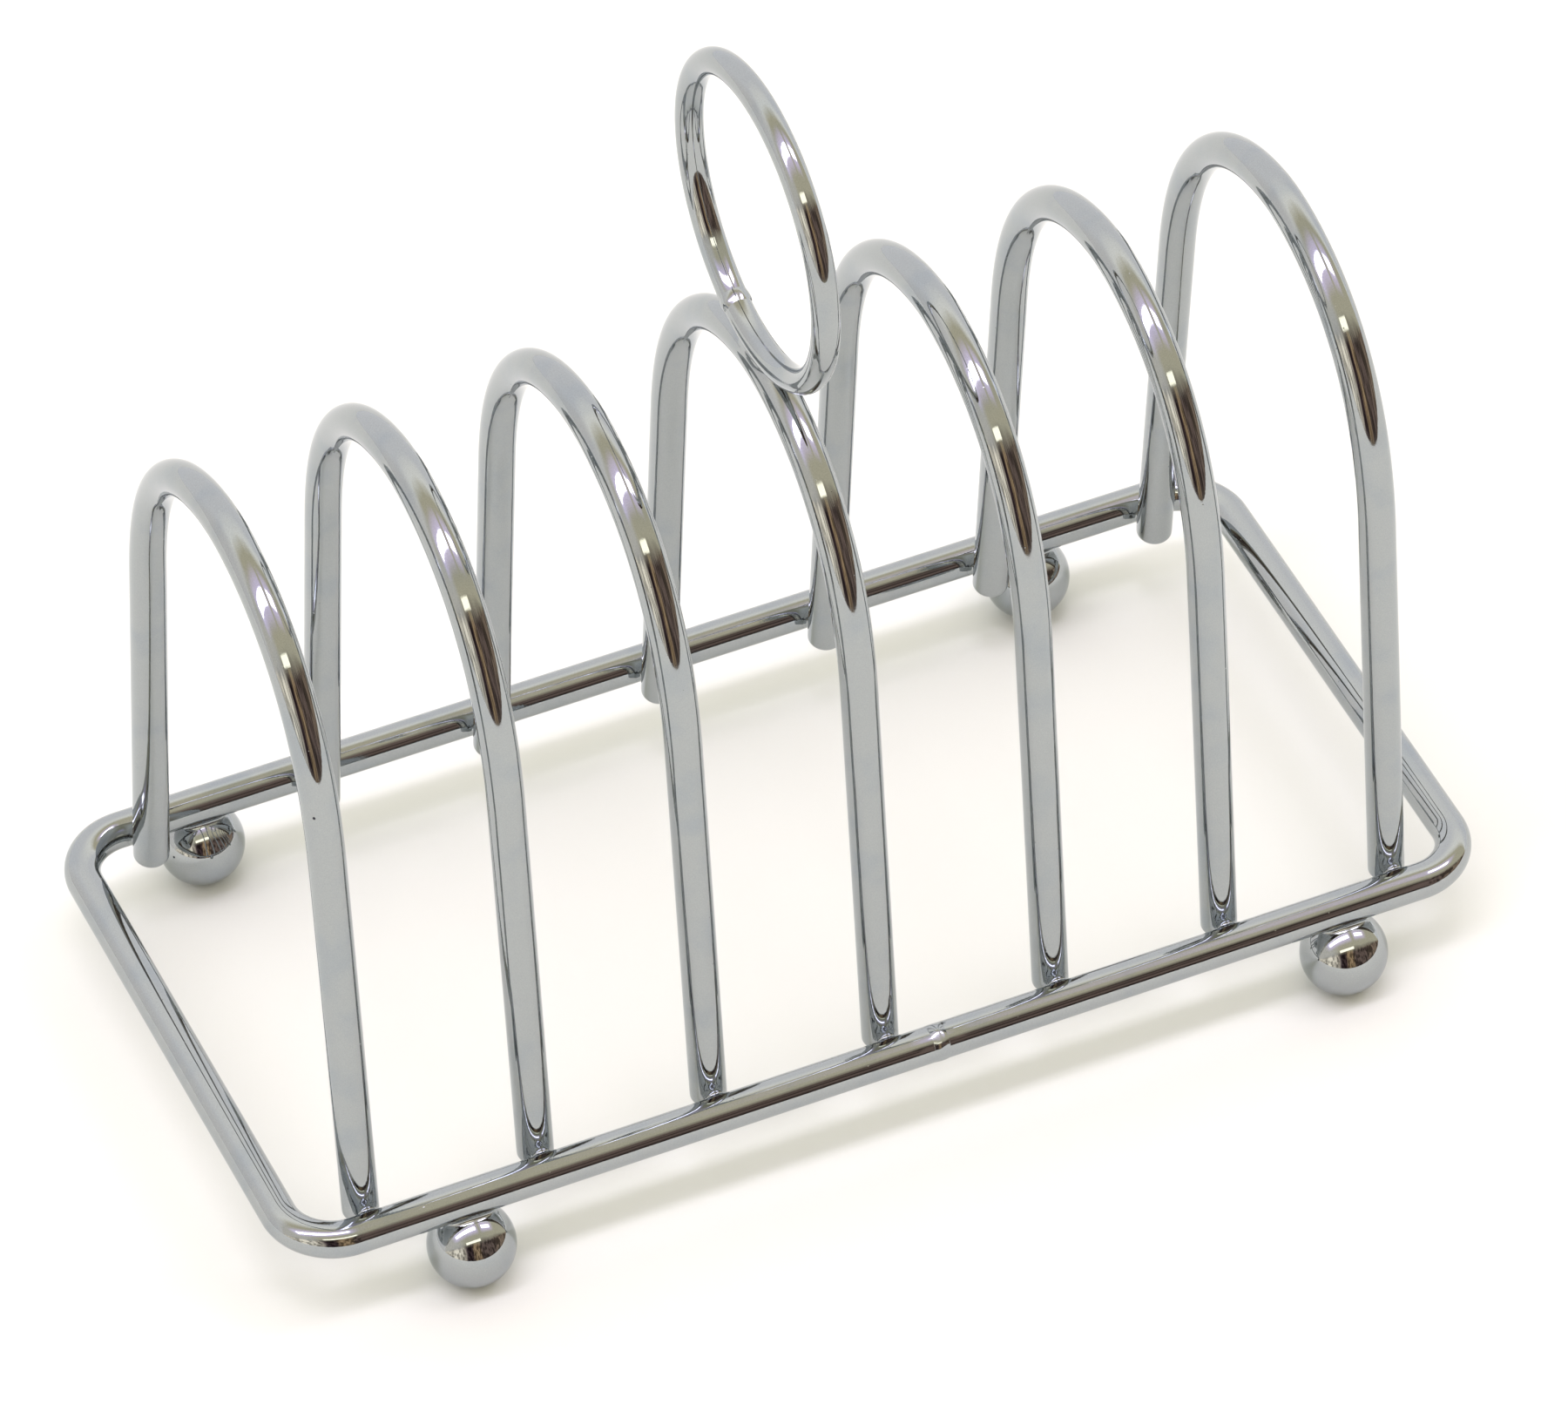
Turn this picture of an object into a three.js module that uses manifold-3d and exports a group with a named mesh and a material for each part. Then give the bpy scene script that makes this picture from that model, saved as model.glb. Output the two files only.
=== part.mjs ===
// Wire toast rack: seven bent-wire arches stand inside a closed wire base on ball feet, with a ring handle
// welded on top of the middle arch. Millimetres, +Z up, +X along the row of arches; the origin is on the
// table, under the middle of the base.
import * as THREE from "three";
import { mergeVertices } from "three/addons/utils/BufferGeometryUtils.js";
import Module from "manifold-3d";

const wasm = await Module();
wasm.setup();

// Driving dimensions. Wires are given by their centrelines.
const WIRE_RADIUS = 2.5;
const RING_WIRE_RADIUS = 1.9;
const BASE_LENGTH = 171;
const BASE_WIDTH = 82.6;
const CORNER_RADIUS = 7.8;
const BALL_RADIUS = 6;
const BALL_FLAT_RADIUS = 1;
const BALL_OFFSET_Y = 0.7;
const BALL_PLACES = {
  front_left: { x: -61.8, side: -1 },
  front_right: { x: 66, side: -1 },
  back_left: { x: -65.7, side: 1 },
  back_right: { x: 58.2, side: 1 },
};
const ARCH_COUNT = 7;
const ARCH_PITCH = 25;
const RING_RADIUS = 21.4;
const RING_OFFSET = new THREE.Vector2(-0.6, -1);

// An arch above the base wire: each leg runs straight from its foot to the shoulder, then the wire bends
// over to the crown. The pulls are the lengths of the bend's two tangent arms.
const LEG_TAIL = 1.8;
const SHOULDER_Y = 30.5;
const SHOULDER_HEIGHT = 57.6;
const CROWN_HEIGHT = 91.5;
const SHOULDER_PULL = 29.9;
const CROWN_PULL = 7;

// A leg stops just short of touching its rail. The balls and the ring are pressed into the wire they are
// welded to by the set-down. Cut pieces and weld metal keep the weld clearance from their neighbours.
const CONTACT_GAP = 0.1;
const SET_DOWN = 0.6;
const WELD_CLEARANCE = 0.2;
const LEG_WELD = new THREE.Vector3(3.5, 2.1, 2.5);
const LEG_WELD_RISE = 0.7;
const FOOT_WELD = new THREE.Vector3(3.9, 2.9, 1.7);
const HANDLE_WELD = new THREE.Vector3(2.1, 5.3, 1.6);

// The base wire and the ring wire are each closed by a butt weld with a low collar of flash.
const BUTT_GAP = 0.8;
const FLASH_HEIGHT = 0.35;
const FLASH_HALF_LENGTH = 1.2;
const BASE_BUTT_X = 5.9;
const RING_BUTT_ANGLE = THREE.MathUtils.degToRad(20);

// Facets.
const WIRE_SIDES = 12;
const BEND_STEPS = 12;
const CORNER_STEPS = 7;
const RING_STEPS = 40;
const BALL_SIDES = 20;
const BALL_STEPS = 10;
const CUTTER_SIDES = 24;
const BEAD_SIDES = 12;
const BEAD_STEPS = 8;

// Derived places.
const BALL_CENTRE_Z = Math.sqrt(BALL_RADIUS ** 2 - BALL_FLAT_RADIUS ** 2);
const RAIL_Z = BALL_CENTRE_Z + BALL_RADIUS + WIRE_RADIUS - SET_DOWN;
const RAIL_Y = BASE_WIDTH / 2;
const LEG_Y = RAIL_Y - 2 * WIRE_RADIUS - CONTACT_GAP;
const CROWN_TOP = CROWN_HEIGHT + WIRE_RADIUS;
const RING_HEIGHT = CROWN_TOP + RING_WIRE_RADIUS + RING_RADIUS - SET_DOWN;
const RING_CENTRE = new THREE.Vector3(RING_OFFSET.x, RING_OFFSET.y, RING_HEIGHT);
const LEG_FOOT = new THREE.Vector3(0, LEG_Y, 0);
const SHOULDER = new THREE.Vector3(0, SHOULDER_Y, SHOULDER_HEIGHT);
const LEG_DIRECTION = SHOULDER.clone().sub(LEG_FOOT).normalize();

// A centreline through stations of its own choosing, so a straight stretch costs one segment and a bend
// gets as many as it needs.
class Centreline extends THREE.Curve {
  constructor(stations) {
    super();
    this.stations = stations;
  }

  getPoint(t, target = new THREE.Vector3()) {
    const at = t * (this.stations.length - 1);
    const index = Math.min(Math.floor(at), this.stations.length - 2);
    return target.lerpVectors(this.stations[index], this.stations[index + 1], at - index);
  }

  getPointAt(u, target) {
    return this.getPoint(u, target);
  }

  getTangentAt(u, target) {
    return this.getTangent(u, target);
  }
}

function wire(stations, radius) {
  const section = [];
  for (let i = 0; i < WIRE_SIDES; i += 1) {
    const angle = (2 * Math.PI * i) / WIRE_SIDES;
    section.push(new THREE.Vector2(radius * Math.cos(angle), radius * Math.sin(angle)));
  }
  return new THREE.ExtrudeGeometry(new THREE.Shape(section), {
    steps: stations.length - 1,
    extrudePath: new Centreline(stations),
  });
}

// Counter-clockwise round the base from one side of the butt weld to the other.
function baseStations() {
  const stations = [new THREE.Vector3(BASE_BUTT_X + BUTT_GAP / 2, -RAIL_Y, 0)];
  const inset = new THREE.Vector2(BASE_LENGTH / 2 - CORNER_RADIUS, RAIL_Y - CORNER_RADIUS);
  const corners = [
    [1, -1],
    [1, 1],
    [-1, 1],
    [-1, -1],
  ];
  corners.forEach(([sideX, sideY], corner) => {
    for (let step = 0; step <= CORNER_STEPS; step += 1) {
      const angle = (Math.PI / 2) * (corner - 1 + step / CORNER_STEPS);
      stations.push(
        new THREE.Vector3(
          sideX * inset.x + CORNER_RADIUS * Math.cos(angle),
          sideY * inset.y + CORNER_RADIUS * Math.sin(angle),
          0,
        ),
      );
    }
  });
  stations.push(new THREE.Vector3(BASE_BUTT_X - BUTT_GAP / 2, -RAIL_Y, 0));
  return stations;
}

// Up the back leg, over the crown and down the front leg, in the plane x = 0.
function archStations() {
  const arm = SHOULDER.clone().addScaledVector(LEG_DIRECTION, SHOULDER_PULL);
  const bend = new THREE.CubicBezierCurve3(
    SHOULDER,
    arm,
    new THREE.Vector3(0, CROWN_PULL, CROWN_HEIGHT),
    new THREE.Vector3(0, 0, CROWN_HEIGHT),
  );
  const half = [legPoint(-LEG_TAIL), ...bend.getSpacedPoints(BEND_STEPS)];
  const mirrored = half.slice(0, -1).map((point) => new THREE.Vector3(0, -point.y, point.z));
  return [...half, ...mirrored.reverse()];
}

function legPoint(height) {
  return LEG_FOOT.clone().addScaledVector(LEG_DIRECTION, height / LEG_DIRECTION.z);
}

// Once round the handle from one side of its butt weld to the other, in the plane x = 0.
function ringStations() {
  const start = RING_BUTT_ANGLE + BUTT_GAP / 2 / RING_RADIUS;
  const sweep = 2 * Math.PI - BUTT_GAP / RING_RADIUS;
  const stations = [];
  for (let step = 0; step <= RING_STEPS; step += 1) {
    stations.push(ringPoint(start + (sweep * step) / RING_STEPS));
  }
  return stations;
}

// A point on the ring's centreline, by the angle from its lowest point towards +Y.
function ringPoint(angle) {
  return new THREE.Vector3(0, RING_RADIUS * Math.sin(angle), -RING_RADIUS * Math.cos(angle));
}

// A ball with a small flat where it stands and a shallow groove where its rail is pressed in, under x = 0.
function ballGeometry(railY) {
  const profile = [new THREE.Vector2(0, 0), new THREE.Vector2(BALL_FLAT_RADIUS, 0)];
  for (let step = 1; step < BALL_STEPS; step += 1) {
    const angle = (Math.PI * step) / BALL_STEPS;
    const height = BALL_CENTRE_Z - BALL_RADIUS * Math.cos(angle);
    profile.push(new THREE.Vector2(BALL_RADIUS * Math.sin(angle), height));
  }
  profile.push(new THREE.Vector2(0, BALL_CENTRE_Z + BALL_RADIUS));
  const whole = new THREE.LatheGeometry(profile, BALL_SIDES).rotateX(Math.PI / 2);
  return toGeometry(toSolid(whole).subtract(toSolid(railCutter(railY, RAIL_Z))));
}

// The weld metal between two wire ends and the flash that stands round the joint, along +Y.
function buttWeldGeometry(radius) {
  const inner = radius + WELD_CLEARANCE;
  const outer = inner + FLASH_HEIGHT;
  const web = BUTT_GAP / 2 - WELD_CLEARANCE;
  const edge = FLASH_HALF_LENGTH * 0.8;
  const profile = [
    [0, -web],
    [inner, -web],
    [inner, -FLASH_HALF_LENGTH],
    [outer, -edge],
    [outer, edge],
    [inner, FLASH_HALF_LENGTH],
    [inner, web],
    [0, web],
  ];
  const points = profile.map(([x, y]) => new THREE.Vector2(x, y));
  return new THREE.LatheGeometry(points, BALL_SIDES);
}

function toSolid(geometry) {
  const bare = geometry.clone();
  bare.deleteAttribute("normal");
  bare.deleteAttribute("uv");
  const merged = mergeVertices(bare, 1e-5);
  return new wasm.Manifold(
    new wasm.Mesh({
      numProp: 3,
      vertProperties: new Float32Array(merged.attributes.position.array),
      triVerts: new Uint32Array(merged.index.array),
    }),
  );
}

function toGeometry(solid) {
  const mesh = solid.getMesh();
  const geometry = new THREE.BufferGeometry();
  geometry.setAttribute("position", new THREE.BufferAttribute(mesh.vertProperties, 3));
  geometry.setIndex(new THREE.BufferAttribute(mesh.triVerts, 1));
  geometry.computeVertexNormals();
  return geometry;
}

// A weld bead: an ellipsoid at the joint, less the space of the pieces that it joins.
function weldBead(centre, halfSize, neighbours) {
  const blob = new THREE.SphereGeometry(1, BEAD_SIDES, BEAD_STEPS)
    .scale(halfSize.x, halfSize.y, halfSize.z)
    .translate(centre.x, centre.y, centre.z);
  let solid = toSolid(blob);
  for (const neighbour of neighbours) {
    solid = solid.subtract(toSolid(neighbour));
  }
  return toGeometry(solid);
}

// The space of a straight wire through a point, along a direction.
function straightCutter(point, direction) {
  const radius = WIRE_RADIUS + WELD_CLEARANCE;
  const turn = new THREE.Quaternion().setFromUnitVectors(new THREE.Vector3(0, 1, 0), direction);
  return new THREE.CylinderGeometry(radius, radius, 4 * BALL_RADIUS, CUTTER_SIDES)
    .applyQuaternion(turn)
    .translate(point.x, point.y, point.z);
}

// The space of a long rail that runs over or beside a joint at x = 0.
function railCutter(y, z) {
  return straightCutter(new THREE.Vector3(0, y, z), new THREE.Vector3(1, 0, 0));
}

// The space of the middle arch's bend, as seen from the middle of the ring.
function crownCutter() {
  const crown = wire(archStations(), WIRE_RADIUS + WELD_CLEARANCE);
  return crown.translate(-RING_CENTRE.x, -RING_CENTRE.y, -RING_CENTRE.z);
}

function legWeldGeometry() {
  const joint = new THREE.Vector3(0, LEG_Y + WIRE_RADIUS + CONTACT_GAP / 2, LEG_WELD_RISE);
  return weldBead(joint, LEG_WELD, [railCutter(RAIL_Y, 0), straightCutter(LEG_FOOT, LEG_DIRECTION)]);
}

function footWeldGeometry(railY) {
  const joint = new THREE.Vector3(0, railY / 2, RAIL_Z - WIRE_RADIUS);
  const ball = new THREE.SphereGeometry(BALL_RADIUS + WELD_CLEARANCE, CUTTER_SIDES, CUTTER_SIDES / 2);
  return weldBead(joint, FOOT_WELD, [railCutter(railY, RAIL_Z), ball.translate(0, 0, BALL_CENTRE_Z)]);
}

function handleWeldGeometry() {
  const joint = new THREE.Vector3(-RING_CENTRE.x / 2, -RING_CENTRE.y / 2, CROWN_TOP - RING_CENTRE.z);
  const ring = wire(ringStations(), RING_WIRE_RADIUS + WELD_CLEARANCE);
  return weldBead(joint, HANDLE_WELD, [crownCutter(), ring]);
}

function ringGeometry() {
  const ring = wire(ringStations(), RING_WIRE_RADIUS);
  return toGeometry(toSolid(ring).subtract(toSolid(crownCutter())));
}

function chrome() {
  return new THREE.MeshStandardMaterial({ color: 0xc6cace, roughness: 0.06, metalness: 1 });
}

function piece(name, geometry) {
  const mesh = new THREE.Mesh(geometry, chrome());
  mesh.name = name;
  return mesh;
}

const rack = new THREE.Group();

const base = new THREE.Group();
base.position.z = RAIL_Z;
const baseButtWeld = piece("base_butt_weld", buttWeldGeometry(WIRE_RADIUS));
baseButtWeld.position.set(BASE_BUTT_X, -RAIL_Y, 0);
baseButtWeld.rotation.z = Math.PI / 2;
base.add(piece("base_frame", wire(baseStations(), WIRE_RADIUS)), baseButtWeld);
rack.add(base);

const archWire = wire(archStations(), WIRE_RADIUS);
const legWeld = legWeldGeometry();
for (let number = 1; number <= ARCH_COUNT; number += 1) {
  const station = new THREE.Group();
  station.position.set((number - (ARCH_COUNT + 1) / 2) * ARCH_PITCH, 0, RAIL_Z);
  const frontWeld = piece(`leg_weld_front_${number}`, legWeld);
  frontWeld.rotation.z = Math.PI;
  station.add(piece(`arch_${number}`, archWire), frontWeld, piece(`leg_weld_back_${number}`, legWeld));
  rack.add(station);
}

for (const [place, { x, side }] of Object.entries(BALL_PLACES)) {
  const foot = new THREE.Group();
  const railY = -side * BALL_OFFSET_Y;
  const footWeld = piece(`foot_weld_${place}`, footWeldGeometry(railY));
  foot.position.set(x, side * (RAIL_Y + BALL_OFFSET_Y), 0);
  foot.add(piece(`ball_foot_${place}`, ballGeometry(railY)), footWeld);
  rack.add(foot);
}

const handle = new THREE.Group();
handle.position.set(RING_CENTRE.x, RING_CENTRE.y, RAIL_Z + RING_CENTRE.z);
const ringButtWeld = piece("handle_butt_weld", buttWeldGeometry(RING_WIRE_RADIUS));
ringButtWeld.position.copy(ringPoint(RING_BUTT_ANGLE));
ringButtWeld.rotation.x = RING_BUTT_ANGLE;
handle.add(piece("handle_ring", ringGeometry()), ringButtWeld, piece("handle_weld", handleWeldGeometry()));
rack.add(handle);

export default rack;
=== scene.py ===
"""Chromed wire toast rack: smooth bent wires, ball feet, a ring handle and fused welds, in metres."""
import math

import bpy
import numpy as np
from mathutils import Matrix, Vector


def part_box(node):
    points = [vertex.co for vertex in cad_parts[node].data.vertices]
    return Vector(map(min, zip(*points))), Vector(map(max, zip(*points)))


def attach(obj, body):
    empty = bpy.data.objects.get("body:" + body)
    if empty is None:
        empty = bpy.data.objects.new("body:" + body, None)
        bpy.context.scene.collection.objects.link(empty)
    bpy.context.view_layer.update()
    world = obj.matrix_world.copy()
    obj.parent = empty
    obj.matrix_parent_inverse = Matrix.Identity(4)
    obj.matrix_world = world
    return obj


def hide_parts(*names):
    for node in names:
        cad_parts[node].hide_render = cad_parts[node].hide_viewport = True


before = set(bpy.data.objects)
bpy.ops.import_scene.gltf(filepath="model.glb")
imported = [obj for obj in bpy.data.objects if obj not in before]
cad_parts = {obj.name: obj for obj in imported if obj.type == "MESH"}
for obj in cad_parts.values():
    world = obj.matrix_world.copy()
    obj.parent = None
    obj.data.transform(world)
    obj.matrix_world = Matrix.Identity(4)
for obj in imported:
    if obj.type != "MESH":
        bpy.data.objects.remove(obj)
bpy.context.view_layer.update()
MM = 0.001

# --- Places read from the frame ---------------------------------------------------------------------------


def box_of(node):
    low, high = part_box(node)
    return np.array(low), np.array(high)


base_low, base_high = box_of("base_frame")
ring_low, ring_high = box_of("handle_ring")
WIRE_RADIUS = (base_high[2] - base_low[2]) / 2
RING_WIRE_RADIUS = (ring_high[0] - ring_low[0]) / 2
RAIL_Z = (base_high[2] + base_low[2]) / 2
RAIL_Y = base_high[1] - WIRE_RADIUS
RAIL_END_X = base_high[0] - WIRE_RADIUS
ARCHES = [f"arch_{number}" for number in range(1, 8)]
ARCH_X = [float(np.mean([box_of(name)[0][0], box_of(name)[1][0]])) for name in ARCHES]
CROWN_Z = box_of("arch_4")[1][2] - WIRE_RADIUS
RING_RADIUS = (ring_high[1] - ring_low[1]) / 2 - RING_WIRE_RADIUS
RING_X, RING_Y = (ring_low[0] + ring_high[0]) / 2, (ring_low[1] + ring_high[1]) / 2
RING_CENTRE = np.array([RING_X, RING_Y, ring_high[2] - RING_WIRE_RADIUS - RING_RADIUS])
BASE_BUTT_X = float(np.mean([box_of("base_butt_weld")[0][0], box_of("base_butt_weld")[1][0]]))
FEET = [f"{side}_{end}" for side in ("front", "back") for end in ("left", "right")]

# --- Shapes of the bends, as in the CAD model -------------------------------------------------------------

CORNER_RADIUS = 7.8 * MM
CONTACT_GAP = 0.1 * MM
LEG_TAIL = 1.8 * MM
SHOULDER_Y = 30.5 * MM
SHOULDER_HEIGHT = 57.6 * MM
SHOULDER_PULL = 29.9 * MM
CROWN_PULL = 7 * MM
BALL_RADIUS = 6 * MM
BALL_FLAT_RADIUS = 1 * MM
RING_BUTT_ANGLE = math.radians(20)
BUTT_GAP = 0.5 * MM
LEG_Y = RAIL_Y - 2 * WIRE_RADIUS - CONTACT_GAP

# --- Meshes -----------------------------------------------------------------------------------------------

WIRE_SIDES = 48
LEG_EASE = 1.1 * MM
BUTT_EASE = 0.15 * MM
# How far the weld metal reaches out of the corner between two pieces.
LEG_WELD_REACH = 1.15 * MM
FOOT_WELD_REACH = 1.0 * MM
HANDLE_WELD_REACH = 1.3 * MM
# Half sizes of the blocks of space that the welds are sampled in, and the sampling step.
LEG_WELD_BLOCK = np.array([4.6, 2.4, 3.4]) * MM
FOOT_WELD_BLOCK = np.array([5.2, 4.2, 2.6]) * MM
HANDLE_WELD_BLOCK = np.array([2.8, 9.5, 2.6]) * MM
WELD_STEP = 0.16 * MM
# The flash round a butt weld: half width along the wire, height, how far its edge sinks, how far it wanders.
FLASH_HALF_WIDTH = 1.15 * MM
FLASH_HEIGHT = 0.22 * MM
FLASH_SINK = 0.01 * MM
FLASH_WANDER = 0.18 * MM
BASE_FLASH_LEAN = math.radians(35)
BASE_FLASH_TRIM = 0.95
HANDLE_FLASH_LEAN = math.radians(60)
HANDLE_FLASH_TRIM = 0.3


def unit(vectors):
    return vectors / np.linalg.norm(vectors, axis=-1, keepdims=True)


def new_piece(name, vertices, faces, material, uvs=None, normals=None):
    mesh = bpy.data.meshes.new(name)
    mesh.from_pydata([tuple(v) for v in vertices], [], [tuple(int(i) for i in f) for f in faces])
    mesh.polygons.foreach_set("use_smooth", [True] * len(mesh.polygons))
    if uvs is not None:
        layer = mesh.uv_layers.new(name="along_wire")
        corners = np.empty(len(mesh.loops), dtype=np.int32)
        mesh.loops.foreach_get("vertex_index", corners)
        layer.data.foreach_set("uv", uvs[corners].astype(np.float32).ravel())
    mesh.update()
    if normals is not None:
        mesh.normals_split_custom_set_from_vertices([tuple(n) for n in normals])
    mesh.materials.append(material)
    piece = bpy.data.objects.new(name, mesh)
    bpy.context.scene.collection.objects.link(piece)
    return piece


def eased_ends(path, radius, ease):
    """Stations and radii of a wire whose two cut ends have a rounded edge and a flat face."""
    tangents = unit(np.gradient(path, axis=0))
    angles = np.radians(np.linspace(0, 90, 8))
    inset = ease * (1 - np.cos(angles))
    along = ease * (1 - np.sin(angles))
    flat = radius - ease
    start = [(path[0] + tangents[0] * a, radius - i) for a, i in zip(along, inset)][::-1]
    end = [(path[-1] - tangents[-1] * a, radius - i) for a, i in zip(along, inset)]
    start = [(path[0], flat * 0.93)] + start
    end = end + [(path[-1], flat * 0.93)]
    lengths = np.concatenate([[0], np.cumsum(np.linalg.norm(np.diff(path, axis=0), axis=1))])
    inside = (lengths > ease * 1.5) & (lengths < lengths[-1] - ease * 1.5)
    middle = [(p, radius) for p in path[inside]]
    stations = start + middle + end
    directions = np.vstack([
        np.repeat(tangents[:1], len(start), axis=0), tangents[inside],
        np.repeat(tangents[-1:], len(end), axis=0)])
    return np.array([p for p, _ in stations]), np.array([r for _, r in stations]), directions


def tube_faces(rows, sides):
    """Quads between rows of points that each go once round."""
    faces = []
    for row in range(rows - 1):
        for side in range(sides):
            following = (side + 1) % sides
            faces.append((row * sides + side, row * sides + following,
                          (row + 1) * sides + following, (row + 1) * sides + side))
    return faces


def swept_wire(name, path, radius, plane_normal, material, ease):
    """A round wire along a planar path, with a flat cut face at each end."""
    centres, radii, tangents = eased_ends(path, radius, ease)
    across = unit(np.cross(tangents, plane_normal))
    turn = np.linspace(0, 2 * math.pi, WIRE_SIDES, endpoint=False)
    ring = np.cos(turn)[None, :, None] * across[:, None, :] + np.sin(turn)[None, :, None] * plane_normal
    vertices = (centres[:, None, :] + radii[:, None, None] * ring).reshape(-1, 3)
    lengths = np.concatenate([[0], np.cumsum(np.linalg.norm(np.diff(centres, axis=0), axis=1))])
    fold = np.minimum(turn, 2 * math.pi - turn) * radius
    uvs = np.stack(np.broadcast_arrays(lengths[:, None], fold[None, :]), axis=-1).reshape(-1, 2)
    count = len(centres)
    faces = tube_faces(count, WIRE_SIDES)
    for row, step in ((0, -1), (count - 1, 1)):
        faces.append(tuple(row * WIRE_SIDES + s for s in range(WIRE_SIDES))[::step])
    return new_piece(name, vertices, faces, material, uvs)


def bezier(p0, p1, p2, p3, steps):
    t = np.linspace(0, 1, steps)[:, None]
    return (1 - t) ** 3 * p0 + 3 * (1 - t) ** 2 * t * p1 + 3 * (1 - t) * t * t * p2 + t ** 3 * p3


def arch_path(x):
    foot = np.array([0, LEG_Y, 0])
    shoulder = np.array([0, SHOULDER_Y, SHOULDER_HEIGHT])
    rise = unit(shoulder - foot)
    crown = CROWN_Z - RAIL_Z
    bottom = foot - rise * LEG_TAIL / rise[2]
    leg = bottom + (shoulder - bottom) * np.linspace(0, 1, 30)[:-1, None]
    bend = bezier(shoulder, shoulder + rise * SHOULDER_PULL, np.array([0, CROWN_PULL, crown]),
                  np.array([0, 0, crown]), 70)
    half = np.vstack([leg, bend])
    return np.vstack([half, (half * [1, -1, 1])[::-1][1:]]) + [x, 0, RAIL_Z]


def base_path():
    points = [np.array([BASE_BUTT_X + BUTT_GAP / 2, -RAIL_Y])]
    for corner, (side_x, side_y) in enumerate(((1, -1), (1, 1), (-1, 1), (-1, -1))):
        centre = np.array([side_x * (RAIL_END_X - CORNER_RADIUS), side_y * (RAIL_Y - CORNER_RADIUS)])
        for angle in np.radians(90 * (corner - 1) + np.linspace(0, 90, 25)):
            points.append(centre + CORNER_RADIUS * np.array([math.cos(angle), math.sin(angle)]))
    points.append(np.array([BASE_BUTT_X - BUTT_GAP / 2, -RAIL_Y]))
    path = [points[0]]
    for start, end in zip(points, points[1:]):
        pieces = max(1, int(np.linalg.norm(end - start) / (4 * MM)))
        path += [start + (end - start) * (k + 1) / pieces for k in range(pieces)]
    return np.array([[p[0], p[1], RAIL_Z] for p in path])


def ring_path():
    gap = BUTT_GAP / RING_RADIUS
    angle = RING_BUTT_ANGLE + np.linspace(gap / 2, 2 * math.pi - gap / 2, 161)
    turn = np.stack([np.zeros_like(angle), np.sin(angle), -np.cos(angle)], axis=1)
    return RING_CENTRE + RING_RADIUS * turn


def ball(name, centre, material):
    """A ball with the small worn flat that it stands on."""
    rows, sides = 48, 64
    flat_angle = math.asin(BALL_FLAT_RADIUS / BALL_RADIUS)
    tilt = np.linspace(flat_angle, math.pi, rows)[:-1]
    turn = np.linspace(0, 2 * math.pi, sides, endpoint=False)
    reach = BALL_RADIUS * np.sin(tilt)
    height = -BALL_RADIUS * np.cos(tilt)
    rings = np.stack([reach[:, None] * np.cos(turn), reach[:, None] * np.sin(turn),
                      np.repeat(height[:, None], sides, axis=1)], axis=-1).reshape(-1, 3)
    vertices = np.vstack([rings, [[0, 0, BALL_RADIUS]]]) + centre
    faces = [tuple(range(sides))[::-1]] + tube_faces(len(tilt), sides)
    last = (len(tilt) - 1) * sides
    faces += [(last + side, last + (side + 1) % sides, len(vertices) - 1) for side in range(sides)]
    return new_piece(name, vertices, faces, material)


def surface_net(field, low, high, step):
    """Vertices and quads where a field crosses zero, one vertex for each cell it passes through."""
    axes = [np.arange(l, h + step, step) for l, h in zip(low, high)]
    grid = np.stack(np.meshgrid(*axes, indexing="ij"), axis=-1)
    values = field(grid.reshape(-1, 3)).reshape(grid.shape[:3])
    inside = values < 0
    cells = np.array(values.shape) - 1
    total = np.zeros((*cells, 3))
    count = np.zeros(cells)
    crossings = []
    for axis in range(3):
        near = [slice(None)] * 3
        far = [slice(None)] * 3
        near[axis], far[axis] = slice(0, -1), slice(1, None)
        hit = np.argwhere(inside[tuple(near)] != inside[tuple(far)])
        others = [a for a in range(3) if a != axis]
        keep = np.all((hit[:, others] > 0) & (hit[:, others] < cells[others]), axis=1)
        hit = hit[keep]
        next_hit = hit.copy()
        next_hit[:, axis] += 1
        before, after = values[tuple(hit.T)], values[tuple(next_hit.T)]
        place = grid[tuple(hit.T)].copy()
        place[:, axis] += step * before / (before - after)
        around = []
        for offset in ((0, 0), (1, 0), (1, 1), (0, 1)):
            cell = hit.copy()
            cell[:, others[0]] -= offset[0]
            cell[:, others[1]] -= offset[1]
            np.add.at(total, tuple(cell.T), place)
            np.add.at(count, tuple(cell.T), 1)
            around.append(cell)
        flip = (before < 0) ^ (axis == 1)
        crossings.append((around, flip))
    number = np.cumsum(count.ravel() > 0).reshape(count.shape) - 1
    vertices = total[count > 0] / count[count > 0][:, None]
    quads = []
    for around, flip in crossings:
        corner = np.stack([number[tuple(cell.T)] for cell in around], axis=1)
        corner[~flip] = corner[~flip][:, ::-1]
        quads.append(corner)
    return vertices, np.vstack(quads)


def gradient(field, points):
    shift = 0.002 * MM
    slopes = [field(points + shift * e) - field(points - shift * e) for e in np.eye(3)]
    return np.stack(slopes, axis=1) / (2 * shift)


def fused(first, second, reach):
    """The distance field of two pieces joined by a concave fillet of weld metal."""
    def field(points):
        a, b = first(points), second(points)
        h = np.maximum(reach - np.abs(a - b), 0) / reach
        return np.minimum(a, b) - h * h * reach / 4
    return field


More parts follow.
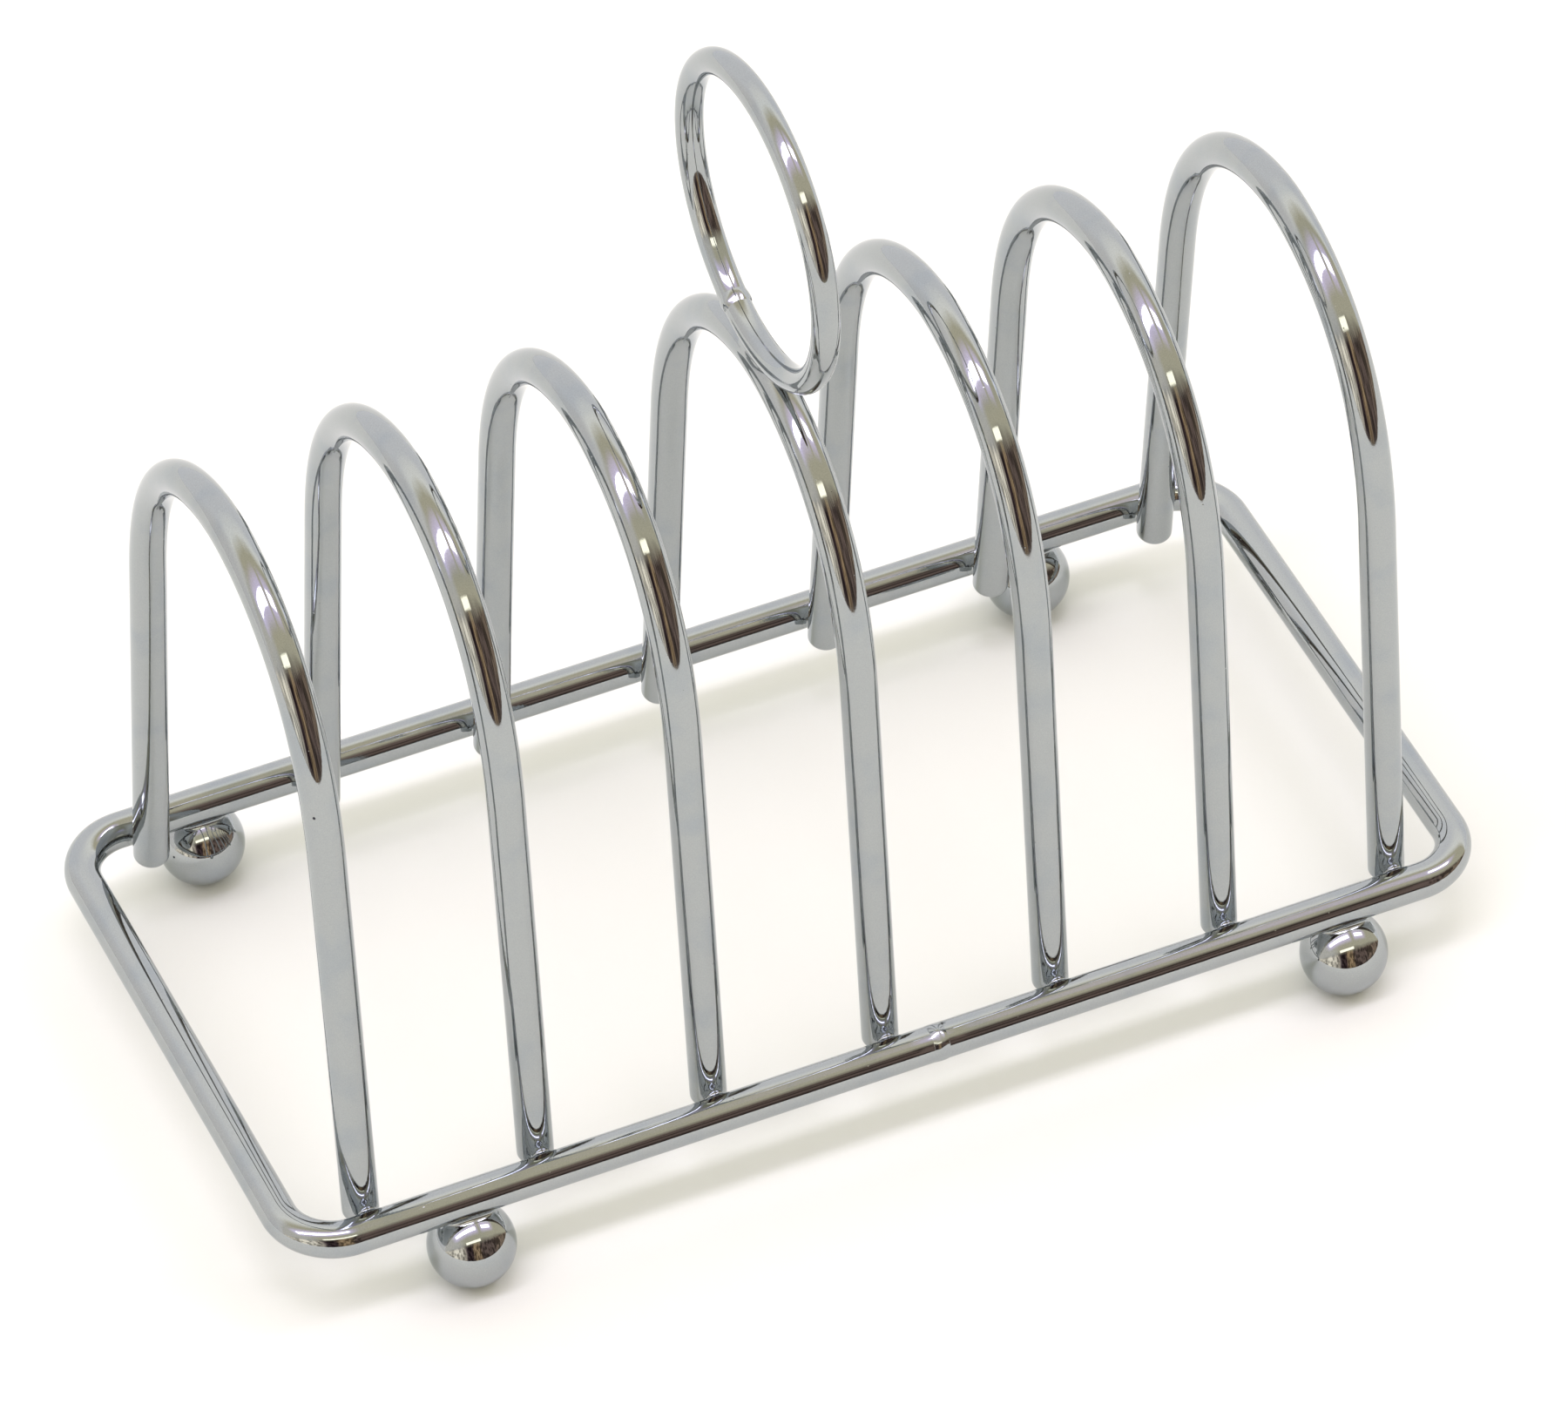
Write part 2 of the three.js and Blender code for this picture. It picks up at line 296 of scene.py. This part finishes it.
def weld_mesh(first, second, reach, contact, block):
    """The part of a fused surface that stands clear of both pieces, with exact normals."""
    field = fused(first, second, reach)
    vertices, quads = surface_net(field, contact - block, contact + block, WELD_STEP)
    for _ in range(4):
        slope = gradient(field, vertices)
        vertices = vertices - field(vertices)[:, None] * slope / np.sum(slope ** 2, axis=1)[:, None]
    clear = np.minimum(first(vertices), second(vertices)) > 0.002 * MM
    quads = quads[clear[quads].all(axis=1)]
    used = np.unique(quads)
    renumber = np.zeros(len(vertices), dtype=int)
    renumber[used] = np.arange(len(used))
    vertices = vertices[used]
    return vertices, renumber[quads], unit(gradient(field, vertices))


def line_distance(point, direction, radius):
    def field(points):
        offset = points - point
        along = offset @ direction
        return np.linalg.norm(offset - along[:, None] * direction, axis=1) - radius
    return field


def path_distance(path, radius):
    """Distance to a wire that lies in a plane across the rack."""
    starts, steps = path[:-1, 1:], np.diff(path[:, 1:], axis=0)

    def field(points):
        best = np.full(len(points), np.inf)
        for start, step in zip(starts, steps):
            offset = points[:, 1:] - start
            along = np.clip(offset @ step / (step @ step), 0, 1)
            best = np.minimum(best, np.sum((offset - along[:, None] * step) ** 2, axis=1))
        return np.sqrt(best + (points[:, 0] - path[0, 0]) ** 2) - radius
    return field


def leg_weld_shape():
    """Weld metal between a leg and the back rail, at x = 0."""
    foot = np.array([0, LEG_Y, RAIL_Z])
    rise = unit(np.array([0, SHOULDER_Y - LEG_Y, SHOULDER_HEIGHT]))
    round_end = WIRE_RADIUS - LEG_EASE
    bottom = foot - rise * (LEG_TAIL / rise[2] - LEG_EASE)

    def leg(points):
        offset = points - bottom
        along = offset @ rise
        side = np.linalg.norm(offset - along[:, None] * rise, axis=1)
        beyond = np.maximum(side - round_end, 0)
        below = np.maximum(-along, 0)
        return np.hypot(beyond, below) - LEG_EASE

    rail = line_distance(np.array([0, RAIL_Y, RAIL_Z]), np.array([1.0, 0, 0]), WIRE_RADIUS)
    contact = np.array([0, LEG_Y + WIRE_RADIUS, RAIL_Z])
    return weld_mesh(leg, rail, LEG_WELD_REACH, contact, LEG_WELD_BLOCK)


def foot_weld_shape(ball_centre):
    """Weld metal between a ball and the rail that is pressed into it."""
    def ball_distance(points):
        return np.linalg.norm(points - ball_centre, axis=1) - BALL_RADIUS

    rail_y = math.copysign(RAIL_Y, ball_centre[1])
    rail = line_distance(np.array([0, rail_y, RAIL_Z]), np.array([1.0, 0, 0]), WIRE_RADIUS)
    contact = np.array([ball_centre[0], (rail_y + ball_centre[1]) / 2, RAIL_Z - WIRE_RADIUS])
    return weld_mesh(ball_distance, rail, FOOT_WELD_REACH, contact, FOOT_WELD_BLOCK)


def handle_weld_shape():
    """Weld metal between the ring and the crown of the middle arch."""
    crown = arch_path(0)
    crown = crown[np.abs(crown[:, 1]) < 14 * MM]
    ring = ring_path()
    ring = ring[ring[:, 2] < RING_CENTRE[2]]
    low_part = ring[np.argsort(ring[:, 1])]
    contact = np.array([RING_X / 2, RING_Y / 2, CROWN_Z + WIRE_RADIUS])
    return weld_mesh(path_distance(crown, WIRE_RADIUS), path_distance(low_part, RING_WIRE_RADIUS),
                     HANDLE_WELD_REACH, contact, HANDLE_WELD_BLOCK)


def butt_weld(name, centre, direction, across, radius, lean, trim, material):
    """A low, lumpy ring of trimmed flash round a joint, highest at the lean angle round the wire."""
    rows, sides = 25, WIRE_SIDES
    third = np.cross(direction, across)
    along = np.linspace(-1, 1, rows)
    turn = np.linspace(0, 2 * math.pi, sides, endpoint=False)
    lumps = 1 + 0.35 * np.sin(2 * turn + 0.6) + 0.25 * np.sin(5 * turn + 1.9) + 0.12 * np.sin(9 * turn)
    lumps = lumps * (1 - trim * (1 - np.cos(turn - lean)) / 2)
    profile = np.maximum(1 - along ** 2, 0) ** 1.3
    wander = FLASH_WANDER * np.sin(3 * turn + 0.4)
    vertices = []
    for offset, swell in zip(along, profile):
        reach = radius - FLASH_SINK + FLASH_HEIGHT * swell * lumps
        for angle, r, drift in zip(turn, reach, wander):
            radial = math.cos(angle) * across + math.sin(angle) * third
            vertices.append(centre + direction * (FLASH_HALF_WIDTH * offset + drift * swell) + radial * r)
    faces = tube_faces(rows, sides)
    faces.append(tuple(range(sides))[::-1])
    faces.append(tuple((rows - 1) * sides + s for s in range(sides)))
    return new_piece(name, np.array(vertices), faces, material)


# --- Materials --------------------------------------------------------------------------------------------


class Nodes:
    """Short calls for building one node tree."""

    def __init__(self, tree):
        self.tree = tree
        self.tree.nodes.clear()

    def add(self, kind, inputs=None, **settings):
        node = self.tree.nodes.new(kind)
        for key, value in settings.items():
            setattr(node, key, value)
        for key, value in (inputs or {}).items():
            if isinstance(value, bpy.types.NodeSocket):
                self.tree.links.new(value, node.inputs[key])
            else:
                node.inputs[key].default_value = value
        return node

    def math(self, operation, *values, clamp=False):
        inputs = dict(enumerate(values))
        return self.add("ShaderNodeMath", inputs, operation=operation, use_clamp=clamp).outputs[0]

    def noise(self, vector, scale, detail=2.0):
        node = self.add("ShaderNodeTexNoise", {"Vector": vector, "Scale": scale, "Detail": detail})
        return node.outputs["Fac"]

    def remap(self, value, from_low, from_high, to_low, to_high, shape="SMOOTHSTEP"):
        inputs = {"Value": value, "From Min": from_low, "From Max": from_high,
                  "To Min": to_low, "To Max": to_high}
        return self.add("ShaderNodeMapRange", inputs, interpolation_type=shape).outputs["Result"]

    def ramp(self, value, stops):
        node = self.add("ShaderNodeValToRGB", {"Fac": value})
        elements = node.color_ramp.elements
        while len(elements) < len(stops):
            elements.new(0.5)
        for element, (place, colour) in zip(elements, stops):
            element.position = place
            element.color = (*colour, 1)
        return node.outputs["Color"]

    def mix(self, factor, first, second, blend="MIX"):
        node = self.add("ShaderNodeMix", data_type="RGBA", blend_type=blend)
        for index, value in ((0, factor), (6, first), (7, second)):
            if isinstance(value, bpy.types.NodeSocket):
                self.tree.links.new(value, node.inputs[index])
            else:
                node.inputs[index].default_value = value
        return node.outputs[2]


CHROME_TINT = (0.382, 0.404, 0.412, 1)
BLOOM_TINT = (0.346, 0.376, 0.398, 1)
PIT_TINT = (0.035, 0.035, 0.045, 1)
SPECKLE = 0.22
SPECULAR_TINT = (0.90, 0.91, 0.93, 1)
# Texture scales, in cells for each metre, and the shares of cells that hold a pit or a fleck.
BLOOM_SCALE = 160.0
PIT_SCALE = 170.0
PIT_SHARE = 0.045
SPECKLE_SCALE = 6500.0
GRAIN_SCALE = 2600.0
FLECK_SCALE = 1300.0
FLECK_SHARE = 0.07
DULL_SCALE = 420.0
LINE_SCALE = (60.0, 2600.0, 1.0)
# Heights of the relief, in parts of the grain's, and the grain's own height.
WAVE_HEIGHT = 3.0
FLECK_HEIGHT = 9.0
LINE_HEIGHT = 2.6
GRAIN_HEIGHT = 0.004 * MM


def chrome(name, along_wire, roughness=0.045, ripple=1.0, wave_scale=260.0):
    """Chrome plate over drawn wire: faint bloom, fine grain, drawing lines and a few dark pits."""
    material = bpy.data.materials.new(name)
    material.use_nodes = True
    n = Nodes(material.node_tree)
    coordinates = n.add("ShaderNodeTexCoord")
    place = coordinates.outputs["Object"]
    bloom = n.remap(n.noise(place, BLOOM_SCALE, 3.0), 0.45, 0.75, 0.0, 1.0)
    colour = n.mix(bloom, CHROME_TINT, BLOOM_TINT)

    cells = n.add("ShaderNodeTexVoronoi", {"Vector": place, "Scale": PIT_SCALE}, feature="F1")
    chosen = n.math("GREATER_THAN", n.add("ShaderNodeSeparateColor",
                    {"Color": cells.outputs["Color"]}).outputs["Red"], 1 - PIT_SHARE)
    near = n.remap(cells.outputs["Distance"], 0.025, 0.045, 1.0, 0.0)
    pits = n.math("MULTIPLY", chosen, near)
    colour = n.mix(pits, colour, PIT_TINT)
    speckle = n.math("MULTIPLY_ADD", n.noise(place, SPECKLE_SCALE, 1.0), SPECKLE, 1.0 - SPECKLE / 2)
    speckle = n.add("ShaderNodeCombineColor", {"Red": speckle, "Green": speckle, "Blue": speckle})
    colour = n.mix(1.0, colour, speckle.outputs["Color"], "MULTIPLY")

    grain = n.noise(place, GRAIN_SCALE, 2.0)
    waves = n.noise(place, wave_scale, 2.0)
    height = n.math("MULTIPLY_ADD", waves, WAVE_HEIGHT * ripple, grain)
    flecks = n.add("ShaderNodeTexVoronoi", {"Vector": place, "Scale": FLECK_SCALE}, feature="F1")
    rare = n.math("GREATER_THAN", n.add("ShaderNodeSeparateColor",
                  {"Color": flecks.outputs["Color"]}).outputs["Green"], 1 - FLECK_SHARE)
    bumps = n.math("MULTIPLY", rare, n.remap(flecks.outputs["Distance"], 0.0, 0.16, 1.0, 0.0))
    height = n.math("MULTIPLY_ADD", bumps, FLECK_HEIGHT, height)
    if along_wire:
        stretched = n.add("ShaderNodeMapping", {"Vector": coordinates.outputs["UV"],
                          "Scale": LINE_SCALE}).outputs["Vector"]
        lines = n.noise(stretched, 1.0, 3.0)
        height = n.math("MULTIPLY_ADD", lines, LINE_HEIGHT, height)
    dull = n.remap(n.noise(place, DULL_SCALE, 3.0), 0.35, 0.7, roughness * 0.7, roughness * 1.6)
    dull = n.math("MULTIPLY_ADD", pits, 0.5, dull)
    bump = n.add("ShaderNodeBump", {"Height": height, "Strength": 0.35, "Distance": GRAIN_HEIGHT})
    shader = n.add("ShaderNodeBsdfPrincipled", {
        "Base Color": colour, "Metallic": 1.0, "Roughness": dull, "Normal": bump.outputs["Normal"]})
    shader.inputs["Specular Tint"].default_value = SPECULAR_TINT
    output = n.add("ShaderNodeOutputMaterial")
    n.tree.links.new(shader.outputs["BSDF"], output.inputs["Surface"])
    return material


WIRE_CHROME = chrome("wire_chrome", along_wire=True)
BALL_CHROME = chrome("ball_chrome", along_wire=False, roughness=0.03, ripple=0.6)
WELD_CHROME = chrome("weld_chrome", along_wire=False, roughness=0.12, ripple=6.0, wave_scale=620.0)

# --- Pieces -----------------------------------------------------------------------------------------------


def settle(piece, node):
    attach(piece, "root")
    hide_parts(node)


def build_wires():
    up, side = np.array([0, 0, 1.0]), np.array([1.0, 0, 0])
    base = swept_wire("base_wire", base_path(), WIRE_RADIUS, up, WIRE_CHROME, BUTT_EASE)
    settle(base, "base_frame")
    for node, x in zip(ARCHES, ARCH_X):
        arch = swept_wire(f"{node}_wire", arch_path(x), WIRE_RADIUS, side, WIRE_CHROME, LEG_EASE)
        settle(arch, node)
    ring = swept_wire("handle_ring_wire", ring_path(), RING_WIRE_RADIUS, side, WIRE_CHROME, BUTT_EASE)
    settle(ring, "handle_ring")


def build_feet():
    for foot in FEET:
        low, high = box_of(f"ball_foot_{foot}")
        centre = (low + high) / 2
        centre[2] = math.sqrt(BALL_RADIUS ** 2 - BALL_FLAT_RADIUS ** 2)
        settle(ball(f"ball_{foot}", centre, BALL_CHROME), f"ball_foot_{foot}")
        shape = foot_weld_shape(centre)
        weld = new_piece(f"foot_weld_metal_{foot}", shape[0], shape[1], WELD_CHROME, normals=shape[2])
        settle(weld, f"foot_weld_{foot}")


def build_leg_welds():
    vertices, quads, normals = leg_weld_shape()
    for number, x in enumerate(ARCH_X, start=1):
        for side, sign in (("back", 1), ("front", -1)):
            turn = np.array([sign, sign, 1])
            weld = new_piece(f"leg_weld_metal_{side}_{number}", vertices * turn + [x, 0, 0], quads,
                             WELD_CHROME, normals=normals * turn)
            settle(weld, f"leg_weld_{side}_{number}")


def build_other_welds():
    vertices, quads, normals = handle_weld_shape()
    weld = new_piece("handle_weld_metal", vertices, quads, WELD_CHROME, normals=normals)
    settle(weld, "handle_weld")
    side, up = np.array([1.0, 0, 0]), np.array([0, 0, 1.0])
    base_butt = butt_weld("base_butt_flash", np.array([BASE_BUTT_X, -RAIL_Y, RAIL_Z]), side, up,
                          WIRE_RADIUS, BASE_FLASH_LEAN, BASE_FLASH_TRIM, WELD_CHROME)
    settle(base_butt, "base_butt_weld")
    sine, cosine = math.sin(RING_BUTT_ANGLE), math.cos(RING_BUTT_ANGLE)
    centre = RING_CENTRE + RING_RADIUS * np.array([0, sine, -cosine])
    handle_butt = butt_weld("handle_butt_flash", centre, np.array([0, cosine, sine]), side,
                            RING_WIRE_RADIUS, HANDLE_FLASH_LEAN, HANDLE_FLASH_TRIM, WELD_CHROME)
    settle(handle_butt, "handle_butt_weld")


# --- Stage ------------------------------------------------------------------------------------------------

FLOOR_HALF = 1.4
FLOOR_COLOUR = (0.835, 0.860, 0.825, 1)
FLOOR_SHADE = (0.815, 0.840, 0.805, 1)


def build_floor():
    material = bpy.data.materials.new("pale_floor")
    material.use_nodes = True
    n = Nodes(material.node_tree)
    place = n.add("ShaderNodeTexCoord").outputs["Object"]
    tone = n.mix(n.noise(place, 12.0), FLOOR_COLOUR, FLOOR_SHADE)
    shader = n.add("ShaderNodeBsdfDiffuse", {"Color": tone})
    output = n.add("ShaderNodeOutputMaterial")
    n.tree.links.new(shader.outputs["BSDF"], output.inputs["Surface"])
    corners = [(-1, -1), (1, -1), (1, 1), (-1, 1)]
    vertices = [(x * FLOOR_HALF, y * FLOOR_HALF, 0) for x, y in corners]
    new_piece("floor", vertices, [(0, 1, 2, 3)], material)


# The studio round the rack: soft bands that run over it parallel to its long axis. A band's angle is counted
# from the front horizon, over the zenith at 90 degrees, to the back horizon at 180. The tones are parts of
# STUDIO_GAIN, because a ramp holds no value above one.
BAND_START, BAND_END = -30.0, 210.0
STUDIO_GAIN = 2.6
PALE_WALL = (0.45, 0.44, 0.44)
BRIGHT_WALL = (0.56, 0.54, 0.50)
CREAM_WALL = (0.33, 0.30, 0.22)
DARK_CARD = (0.08, 0.06, 0.05)
BANDS = [(-30, PALE_WALL), (-10, CREAM_WALL), (-4, DARK_CARD), (40, DARK_CARD), (55, CREAM_WALL),
         (105, CREAM_WALL), (117, BRIGHT_WALL), (140, PALE_WALL), (210, PALE_WALL)]
# The end of the studio past the rack's left end is greyer, with less contrast.
GREY_END = (0.40, 0.38, 0.36, 1)
GREY_END_SHARE = 0.7
# Soft lamps: from x to x along the axis, band angle, half height in degrees, radiance, strength of the glow.
LAMPS = [(-0.7, 0.1, 82, 5.5, (8.0, 7.5, 8.5), 0.35), (0.4, 0.65, 82, 5.5, (8.0, 7.5, 8.5), 0.35),
         (-0.45, 0.15, 50, 4, (3.0, 2.8, 2.2), 0)]
LAMP_EDGE = 0.04
GLOW_TINT = (2.2, 1.8, 3.0, 1)
GLOW_REACH = 14
GLOW_SIDE_REACH = 0.16
# What stands on the dark card in front, from the left end to the right, as shares of its tone.
GREY_STAND = (0.50, 0.48, 0.42)
DARK_POST = (0.12, 0.10, 0.12)
GOLDEN_STAND = (0.80, 0.72, 0.50)
DARK_STAND = (0.30, 0.28, 0.28)
STANDS = [(-0.6, GREY_STAND), (-0.5, DARK_POST), (-0.3, DARK_POST), (-0.2, GOLDEN_STAND),
          (0, GOLDEN_STAND), (0.1, DARK_STAND), (0.6, DARK_STAND), (0.8, GREY_STAND)]


def studio_bands(n, direction, x, angle):
    """The tone of the studio in one direction: the soft bands, greyer past the left end."""
    span = BAND_END - BAND_START
    wobble = n.math("MULTIPLY", n.math("SUBTRACT", n.noise(direction, 3.0), 0.5), 0.04)
    level = n.math("ADD", n.remap(angle, BAND_START, BAND_END, 0.0, 1.0, "LINEAR"), wobble)
    bands = n.ramp(level, [((place - BAND_START) / span, tone) for place, tone in BANDS])
    return n.mix(n.remap(x, -0.8, -0.4, GREY_END_SHARE, 0.0), bands, GREY_END)


def stands_on_card(n, direction, x):
    """Upright shapes low in front, darker and lighter, as factors of the card's tone."""
    stretched = n.add("ShaderNodeMapping", {"Vector": direction, "Scale": (7.0, 2.4, 2.4)})
    shapes = n.remap(n.noise(stretched.outputs["Vector"], 1.9, 2.0), 0.38, 0.62, 1.1, 4.6)
    shapes = n.add("ShaderNodeCombineColor", {"Red": shapes, "Green": shapes, "Blue": shapes})
    tones = n.ramp(n.remap(x, -1.0, 1.0, 0.0, 1.0, "LINEAR"),
                   [((place + 1) / 2, tone) for place, tone in STANDS])
    return n.mix(1.0, tones, shapes.outputs["Color"], "MULTIPLY")


def add_lamp(n, colour, x, angle, lamp):
    left, right, place, half, radiance, strength = lamp
    off = n.math("ABSOLUTE", n.math("SUBTRACT", angle, place))

    def between(edge):
        return n.math("MULTIPLY", n.remap(x, left - edge, left, 0.0, 1.0),
                      n.remap(x, right, right + edge, 1.0, 0.0))

    glow = n.math("MULTIPLY", n.remap(off, half, half + GLOW_REACH, strength, 0.0),
                  between(GLOW_SIDE_REACH))
    colour = n.mix(glow, colour, GLOW_TINT)
    face = n.math("MULTIPLY", between(LAMP_EDGE), n.remap(off, half * 0.6, half, 1.0, 0.0))
    return n.mix(face, colour, (*radiance, 1))


def build_world():
    world = bpy.data.worlds.new("studio")
    bpy.context.scene.world = world
    world.use_nodes = True
    n = Nodes(world.node_tree)
    direction = n.add("ShaderNodeTexCoord").outputs["Generated"]
    x, y, z = n.add("ShaderNodeSeparateXYZ", {"Vector": direction}).outputs
    angle = n.math("MULTIPLY", n.math("ARCTAN2", z, n.math("MULTIPLY", y, -1.0)), 180 / math.pi)
    angle = n.math("WRAP", angle, 270.0, -90.0)
    colour = studio_bands(n, direction, x, angle)
    low_front = n.math("MULTIPLY", n.remap(angle, -6.0, 2.0, 0.0, 1.0), n.remap(angle, 36.0, 50.0, 1.0, 0.0))
    stands = n.mix(1.0, colour, stands_on_card(n, direction, x), "MULTIPLY")
    colour = n.mix(low_front, colour, stands)
    colour = n.mix(1.0, colour, (STUDIO_GAIN, STUDIO_GAIN, STUDIO_GAIN, 1), "MULTIPLY")
    for lamp in LAMPS:
        colour = add_lamp(n, colour, x, angle, lamp)
    background = n.add("ShaderNodeBackground", {"Color": colour, "Strength": 1.0})
    output = n.add("ShaderNodeOutputWorld")
    n.tree.links.new(background.outputs["Background"], output.inputs["Surface"])


KEY_ENERGY = 11.0
KEY_SIZE = 4.0
KEY_HEIGHT = 1.3


def build_key_light():
    """One large soft light over the table. It lights the floor, and the bands above stand for its glow."""
    data = bpy.data.lights.new("soft_key", "AREA")
    data.shape = "SQUARE"
    data.size = KEY_SIZE
    data.energy = KEY_ENERGY
    light = bpy.data.objects.new("soft_key", data)
    light.location = (0.0, 0.0, KEY_HEIGHT)
    light.visible_glossy = False
    light.visible_camera = False
    bpy.context.scene.collection.objects.link(light)


# The camera: where it looks, the direction back to it, its roll and its lens.
VIEW_AZIMUTH = math.radians(-23.734)
VIEW_ELEVATION = math.radians(44.503)
VIEW_ROLL = math.radians(-0.804)
VIEW_DISTANCE = 1.65665
VIEW_TARGET = np.array([-1.448, -9.414, 38]) * MM + [0, 0, RAIL_Z]
FOCAL_LENGTH = 287.7
SENSOR_WIDTH = 36


def build_camera():
    sine, cosine = math.sin(VIEW_AZIMUTH), math.cos(VIEW_AZIMUTH)
    level = math.cos(VIEW_ELEVATION)
    back = np.array([sine * level, -cosine * level, math.sin(VIEW_ELEVATION)])
    right = np.array([cosine, sine, 0])
    up = np.cross(back, right)
    rolled_right = math.cos(VIEW_ROLL) * right + math.sin(VIEW_ROLL) * up
    rolled_up = math.cos(VIEW_ROLL) * up - math.sin(VIEW_ROLL) * right
    place = VIEW_TARGET + back * VIEW_DISTANCE
    data = bpy.data.cameras.new("camera")
    data.sensor_width = SENSOR_WIDTH
    data.sensor_fit = "HORIZONTAL"
    data.lens = FOCAL_LENGTH
    data.clip_end = 50
    camera = bpy.data.objects.new("camera", data)
    bpy.context.scene.collection.objects.link(camera)
    matrix = [[rolled_right[i], rolled_up[i], back[i], place[i]] for i in range(3)] + [[0, 0, 0, 1]]
    camera.matrix_world = [tuple(column) for column in zip(*matrix)]
    bpy.context.scene.camera = camera


build_camera()
build_floor()
build_world()
build_key_light()
build_wires()
build_feet()
build_leg_welds()
build_other_welds()
bpy.context.scene.view_settings.view_transform = "Standard"
